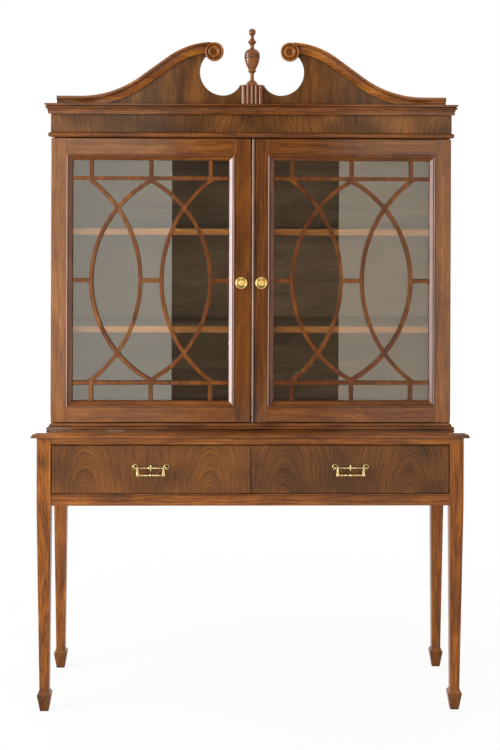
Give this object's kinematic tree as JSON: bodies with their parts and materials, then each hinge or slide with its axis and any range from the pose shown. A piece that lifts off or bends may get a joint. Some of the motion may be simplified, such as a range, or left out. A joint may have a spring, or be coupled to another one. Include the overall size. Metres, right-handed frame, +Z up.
{
  "type": "glazed collection cabinet on stand",
  "caption": "Walnut display cabinet with glazed latticed doors, shelves and a swan-neck pediment, on a stand with drawers and tapered spade-foot legs.",
  "frame": {"origin": "on the floor, under the middle of the stand's footprint", "axes": "+Z up, +X to the right seen from the front, -Y out of the front"},
  "size_m": [1.24, 0.451, 1.9395],
  "materials": {
    "walnut_solid": "french polished walnut, satin",
    "walnut_veneer": "french polished figured walnut veneer, satin",
    "walnut_case": "polished walnut boards, satin",
    "drawer_lining_wood": "planed oak, waxed",
    "back_board": "dark stained walnut-faced board, matt",
    "window_glass": "clear polished glass",
    "aged_brass": "lacquered cast brass",
    "catch_iron": "dark painted magnet blocks"
  },
  "bodies": {
    "cabinet": {"stand_top": "walnut_solid", "leg_front_left": "walnut_solid", "leg_front_right": "walnut_solid", "leg_back_left": "walnut_solid", "leg_back_right": "walnut_solid", "stand_side_rail_left": "walnut_case", "stand_side_rail_right": "walnut_case", "stand_back_rail": "walnut_case", "stand_rail_over_drawers": "walnut_solid", "stand_rail_under_drawers": "walnut_solid", "drawer_divider": "walnut_case", "drawer_runners": "drawer_lining_wood", "plinth_moulding": "walnut_solid", "carcase_bottom": "walnut_case", "carcase_side_left": "walnut_case", "carcase_side_right": "walnut_case", "carcase_top": "walnut_case", "back_panel": "back_board", "frieze_bead": "walnut_solid", "frieze": "walnut_veneer", "cornice": "walnut_solid", "pediment_board": "walnut_veneer", "pediment_moulding_left": "walnut_solid", "pediment_moulding_right": "walnut_solid", "pediment_rosettes": "walnut_solid", "finial_block": "walnut_solid", "finial": "walnut_solid", "shelf_lower": "walnut_case", "shelf_upper": "walnut_case", "shelf_battens": "walnut_case", "door_catches": "catch_iron", "door_pivots": "aged_brass"},
    "door_left": {"door_left_hinge_stile": "walnut_veneer", "door_left_meeting_stile": "walnut_veneer", "door_left_rails": "walnut_veneer", "door_left_sight_moulding": "walnut_solid", "door_left_glazing_bars": "walnut_solid", "door_left_glass": "window_glass", "door_left_pivot_sockets": "aged_brass", "door_left_pull_plate": "aged_brass"},
    "pull_ring_left": {"door_left_pull_ring": "aged_brass"},
    "drawer_left": {"drawer_left_front": "walnut_veneer", "drawer_left_box": "drawer_lining_wood", "drawer_left_bottom": "drawer_lining_wood", "drawer_left_handle_plate": "aged_brass"},
    "bail_left": {"drawer_left_bail": "aged_brass"},
    "door_right": {"door_right_hinge_stile": "walnut_veneer", "door_right_meeting_stile": "walnut_veneer", "door_right_rails": "walnut_veneer", "door_right_sight_moulding": "walnut_solid", "door_right_glazing_bars": "walnut_solid", "door_right_glass": "window_glass", "door_right_pivot_sockets": "aged_brass", "door_right_pull_plate": "aged_brass"},
    "pull_ring_right": {"door_right_pull_ring": "aged_brass"},
    "drawer_right": {"drawer_right_front": "walnut_veneer", "drawer_right_box": "drawer_lining_wood", "drawer_right_bottom": "drawer_lining_wood", "drawer_right_handle_plate": "aged_brass"},
    "bail_right": {"drawer_right_bail": "aged_brass"}
  },
  "joints": [
    {"name": "door_left_swing", "type": "hinge", "parent": "cabinet", "child": "door_left", "pos_m": [-0.565, -0.157, 1.219], "axis": [0, 0, -1], "range_deg": [0, 120]},
    {"name": "pull_ring_left_swing", "type": "hinge", "parent": "door_left", "child": "pull_ring_left", "pos_m": [-0.0288, -0.1724, 1.2248], "axis": [-1, 0, 0], "range_deg": [0, 160]},
    {"name": "drawer_left_slide", "type": "slide", "parent": "cabinet", "child": "drawer_left", "axis": [0, -1, 0], "range_m": [0, 0.3]},
    {"name": "bail_left_swing", "type": "hinge", "parent": "drawer_left", "child": "bail_left", "pos_m": [-0.2827, -0.221, 0.693], "axis": [-1, 0, 0], "range_deg": [-12, 165]},
    {"name": "door_right_swing", "type": "hinge", "parent": "cabinet", "child": "door_right", "pos_m": [0.565, -0.157, 1.219], "axis": [0, 0, 1], "range_deg": [0, 120]},
    {"name": "pull_ring_right_swing", "type": "hinge", "parent": "door_right", "child": "pull_ring_right", "pos_m": [0.0288, -0.1724, 1.2248], "axis": [-1, 0, 0], "range_deg": [0, 160]},
    {"name": "drawer_right_slide", "type": "slide", "parent": "cabinet", "child": "drawer_right", "axis": [0, -1, 0], "range_m": [0, 0.3]},
    {"name": "bail_right_swing", "type": "hinge", "parent": "drawer_right", "child": "bail_right", "pos_m": [0.2827, -0.221, 0.693], "axis": [-1, 0, 0], "range_deg": [-12, 165]}
  ]
}
